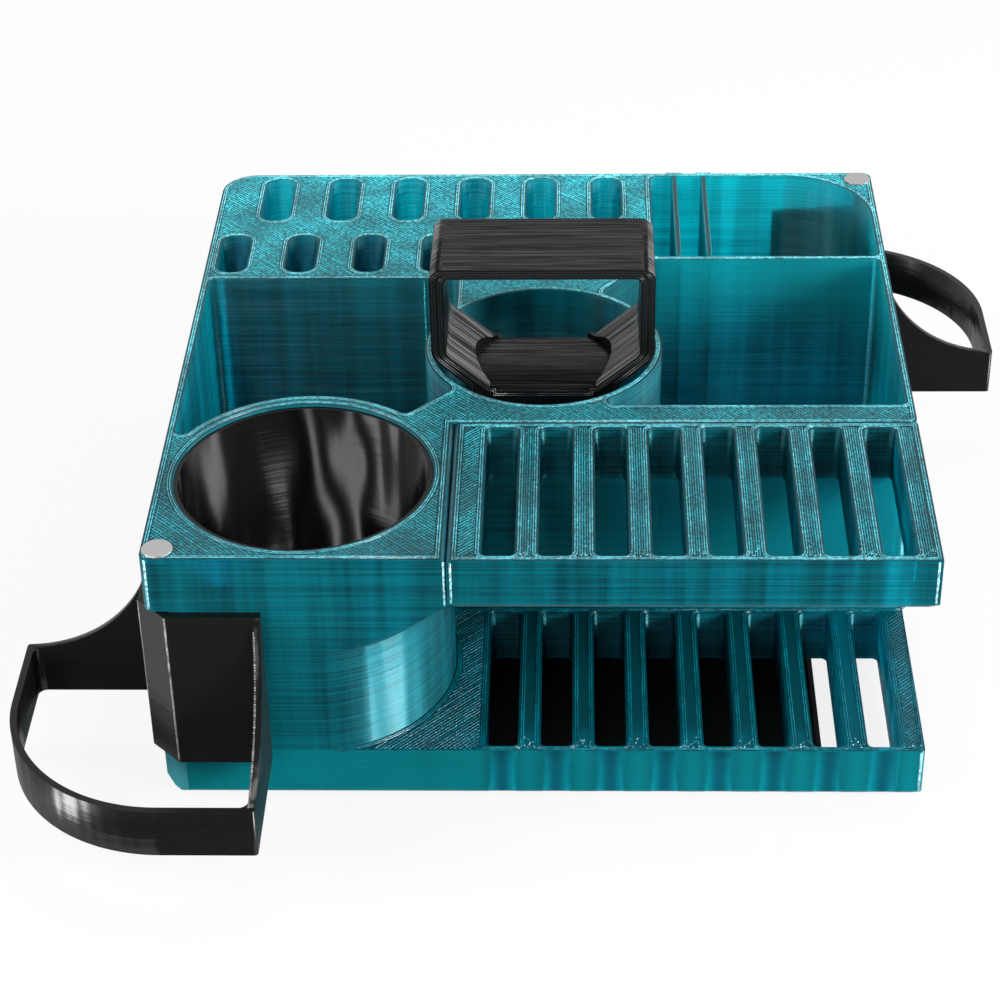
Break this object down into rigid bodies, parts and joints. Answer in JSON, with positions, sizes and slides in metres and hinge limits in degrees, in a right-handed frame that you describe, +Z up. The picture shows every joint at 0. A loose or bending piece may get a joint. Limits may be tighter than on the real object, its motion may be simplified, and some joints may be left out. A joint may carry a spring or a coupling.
{
  "type": "tool caddy",
  "caption": "Translucent printed bench caddy with a deep cup, open compartments, blade slots, a slotted rack over a slotted base, a carry handle and loop holsters at opposite corners.",
  "frame": {"origin": "under the middle of the caddy, on the surface that it stands on", "axes": "+Z up, -Y towards the slotted racks' side, +X to the right of someone who looks at that side"},
  "size_m": [0.3458, 0.3508, 0.1403],
  "materials": {
    "teal_print": "translucent teal print, fine layer lines on the sides and 45 degree lines on top",
    "black_print": "satin black print with fine layer lines",
    "gloss_black": "glossy, slightly wavy",
    "nickel": "bright nickel plate with faint scratches",
    "pad_rubber": "matt black rubber"
  },
  "bodies": {
    "caddy": {"housing": "teal_print", "upper_rack": "teal_print", "front_magnet": "nickel", "rear_magnet": "nickel", "base_pad": "pad_rubber"},
    "handle": {"carry_handle": "black_print"},
    "liner": {"cup_liner": "gloss_black"},
    "front_hanger": {"front_holster": "black_print"},
    "rear_hanger": {"rear_holster": "black_print"},
    "left_plate": {"left_divider": "teal_print"},
    "right_plate": {"right_divider": "teal_print"}
  },
  "joints": [
    {"name": "handle_turn", "type": "hinge", "parent": "caddy", "child": "handle", "pos_m": [0, 0, 0.1], "axis": [0, 0, 1], "range_deg": [0, 90]},
    {"name": "liner_lift", "type": "slide", "parent": "caddy", "child": "liner", "axis": [0, 0, 1], "range_m": [0, 0.1]},
    {"name": "front_holster_pull", "type": "slide", "parent": "caddy", "child": "front_hanger", "axis": [-0.7071, -0.7071, 0], "range_m": [0, 0.06]},
    {"name": "rear_holster_pull", "type": "slide", "parent": "caddy", "child": "rear_hanger", "axis": [0.7071, 0.7071, 0], "range_m": [0, 0.06]},
    {"name": "left_divider_lift", "type": "slide", "parent": "caddy", "child": "left_plate", "axis": [0, 0, 1], "range_m": [0, 0.1]},
    {"name": "right_divider_lift", "type": "slide", "parent": "caddy", "child": "right_plate", "axis": [0, 0, 1], "range_m": [0, 0.1]}
  ]
}
